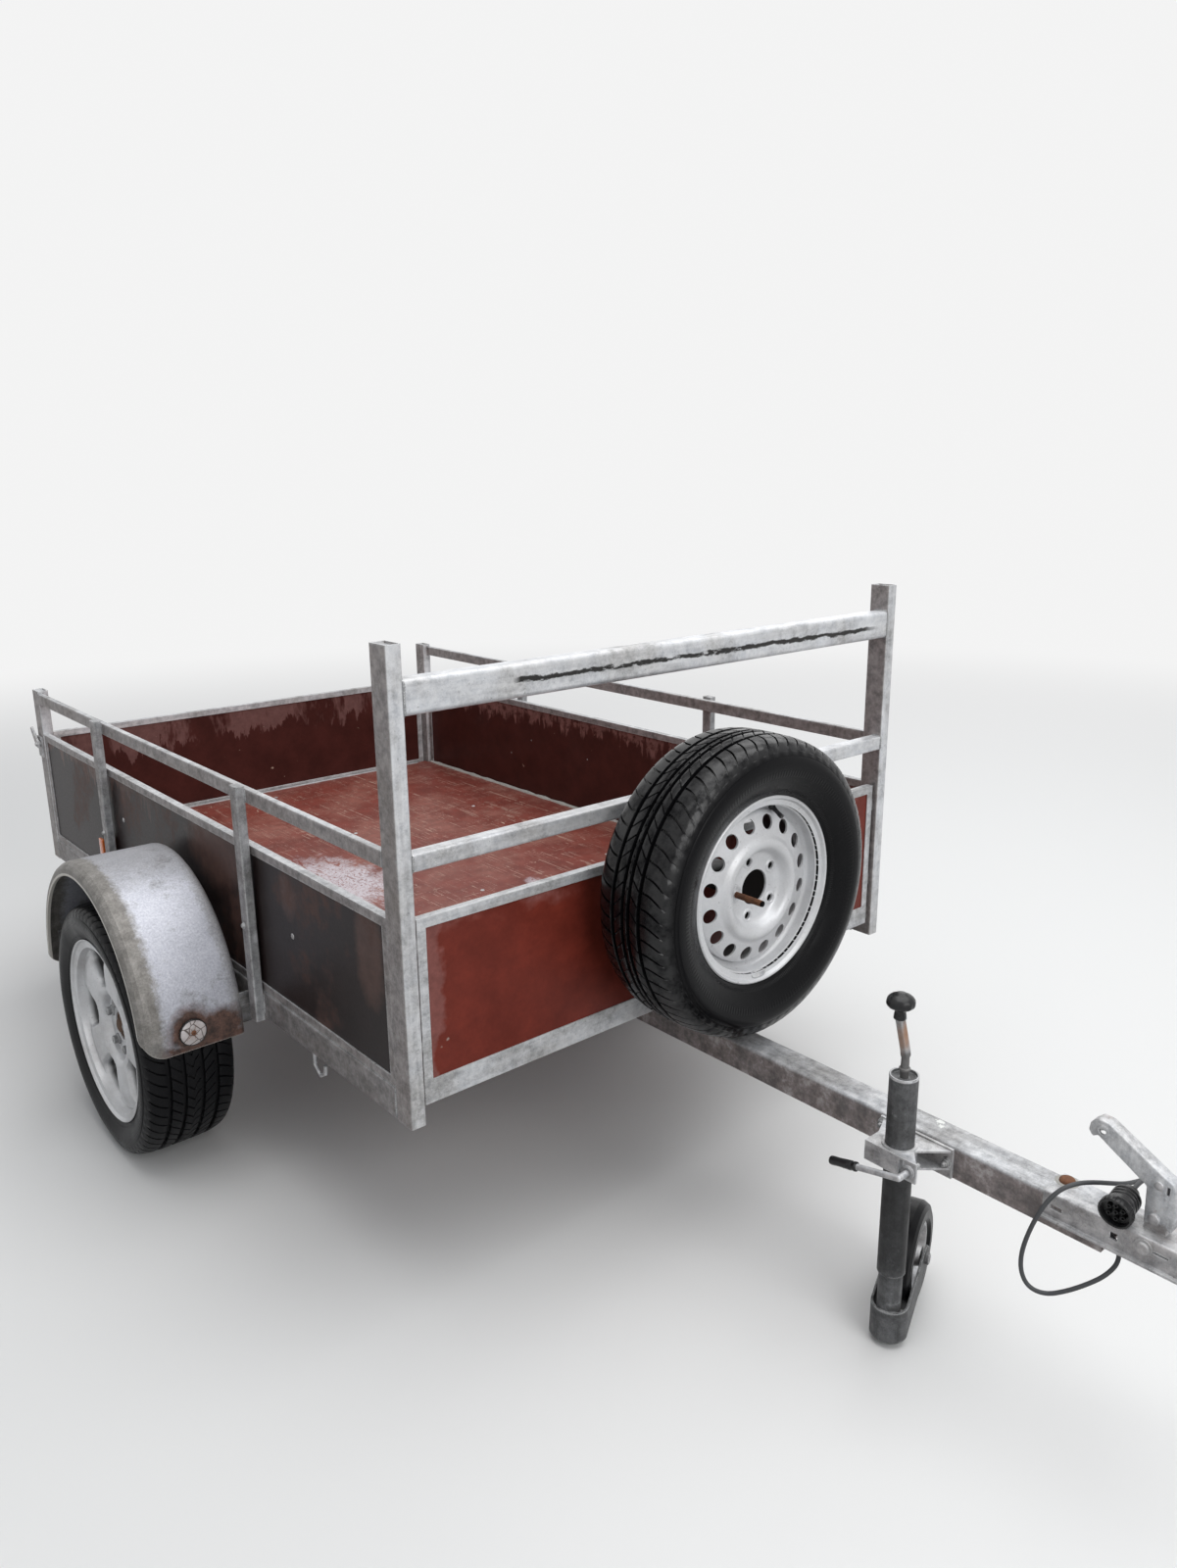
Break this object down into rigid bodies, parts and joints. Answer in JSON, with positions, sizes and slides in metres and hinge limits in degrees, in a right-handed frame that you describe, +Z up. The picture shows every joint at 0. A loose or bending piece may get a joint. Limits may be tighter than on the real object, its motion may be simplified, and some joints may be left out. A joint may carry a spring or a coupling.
{
  "type": "utility trailer",
  "caption": "Single-axle box trailer with boarded sides on a galvanised frame, rope rails, high front bar, spare wheel on the front and a wheeled nose jack.",
  "frame": {"origin": "on the ground, under the middle of the trailer's length and width without its free lead", "axes": "+Z up, the coupling points to -Y, +X is the trailer's left side"},
  "size_m": [1.806, 3.145, 1.222],
  "materials": {
    "galvanised_steel": "dull, spangled, weathered",
    "side_plywood": "film-faced, wet and scratched",
    "front_plywood": "film-faced, wet and scratched",
    "floor_plywood": "film-faced, worn",
    "gate_plywood": "film-faced, wet",
    "alloy": "silver lacquer, satin",
    "silver_rim": "silver paint, dull",
    "road_tyre": "matte",
    "spare_tyre": "matte",
    "jack_tyre": "matte",
    "hub_iron": "rusty",
    "black_plastic": "matte",
    "lead_sheath": "matte",
    "white_lens": "gloss, cracked",
    "amber_lens": "gloss",
    "red_lens": "gloss"
  },
  "bodies": {
    "trailer": {"corner_posts": "galvanised_steel", "side_sills": "galvanised_steel", "cross_members": "galvanised_steel", "rear_sill": "galvanised_steel", "side_uprights": "galvanised_steel", "rack_rails": "galvanised_steel", "side_board_frames": "galvanised_steel", "side_boards": "side_plywood", "front_board_frame": "galvanised_steel", "front_board": "front_plywood", "front_bars": "galvanised_steel", "floor_board": "floor_plywood", "tailgate_latches": "galvanised_steel", "drawbar": "galvanised_steel", "axle": "galvanised_steel", "mudguard_left": "galvanised_steel", "mudguard_right": "galvanised_steel", "mudguard_stays": "galvanised_steel", "front_reflectors": "white_lens", "side_reflectors": "amber_lens", "spare_rim": "silver_rim", "spare_tyre": "spare_tyre", "spare_bracket": "galvanised_steel", "coupling_body": "galvanised_steel", "coupling_head": "galvanised_steel", "coupling_lever": "galvanised_steel", "jack_clamp": "galvanised_steel", "jack_clamp_handle": "galvanised_steel", "jack_clamp_grip": "black_plastic", "tail_lamps": "red_lens", "rope_hooks": "galvanised_steel", "plug": "black_plastic", "lead": "lead_sheath"},
    "wheel_left": {"hub_left": "hub_iron", "wheel_rim_left": "alloy", "tyre_left": "road_tyre"},
    "wheel_right": {"hub_right": "hub_iron", "wheel_rim_right": "alloy", "tyre_right": "road_tyre"},
    "tailgate": {"tailgate_frame": "galvanised_steel", "tailgate_board": "gate_plywood"},
    "jack_mast": {"jack_tube": "galvanised_steel", "jack_crank": "galvanised_steel", "jack_knob": "black_plastic"},
    "jack_screw_nut": {"jack_nut": "galvanised_steel"},
    "jack_leg": {"jack_fork": "galvanised_steel"},
    "jack_wheel": {"jack_wheel_rim": "galvanised_steel", "jack_tyre": "jack_tyre"}
  },
  "joints": [
    {"name": "wheel_left_spin", "type": "hinge", "parent": "trailer", "child": "wheel_left", "pos_m": [0.797, 0.4825, 0.288], "axis": [1, 0, 0], "continuous": true},
    {"name": "wheel_right_spin", "type": "hinge", "parent": "trailer", "child": "wheel_right", "pos_m": [-0.797, 0.4825, 0.288], "axis": [1, 0, 0], "continuous": true},
    {"name": "tailgate_hinge", "type": "hinge", "parent": "trailer", "child": "tailgate", "pos_m": [0, 1.5615, 0.43], "axis": [-1, 0, 0], "range_deg": [0, 180]},
    {"name": "jack_height", "type": "slide", "parent": "trailer", "child": "jack_mast", "axis": [0, 0, 1], "range_m": [-0.1, 0.12]},
    {"name": "jack_screw", "type": "slide", "parent": "jack_mast", "child": "jack_screw_nut", "axis": [0, 0, -1], "range_m": [0, 0.15]},
    {"name": "jack_swivel", "type": "hinge", "parent": "jack_screw_nut", "child": "jack_leg", "pos_m": [-0.08, -1.0345, 0.323], "axis": [0, 0, 1], "continuous": true},
    {"name": "jack_wheel_spin", "type": "hinge", "parent": "jack_leg", "child": "jack_wheel", "pos_m": [0.03558, -0.99243, 0.097], "axis": [-0.342, 0.9397, 0], "continuous": true}
  ]
}
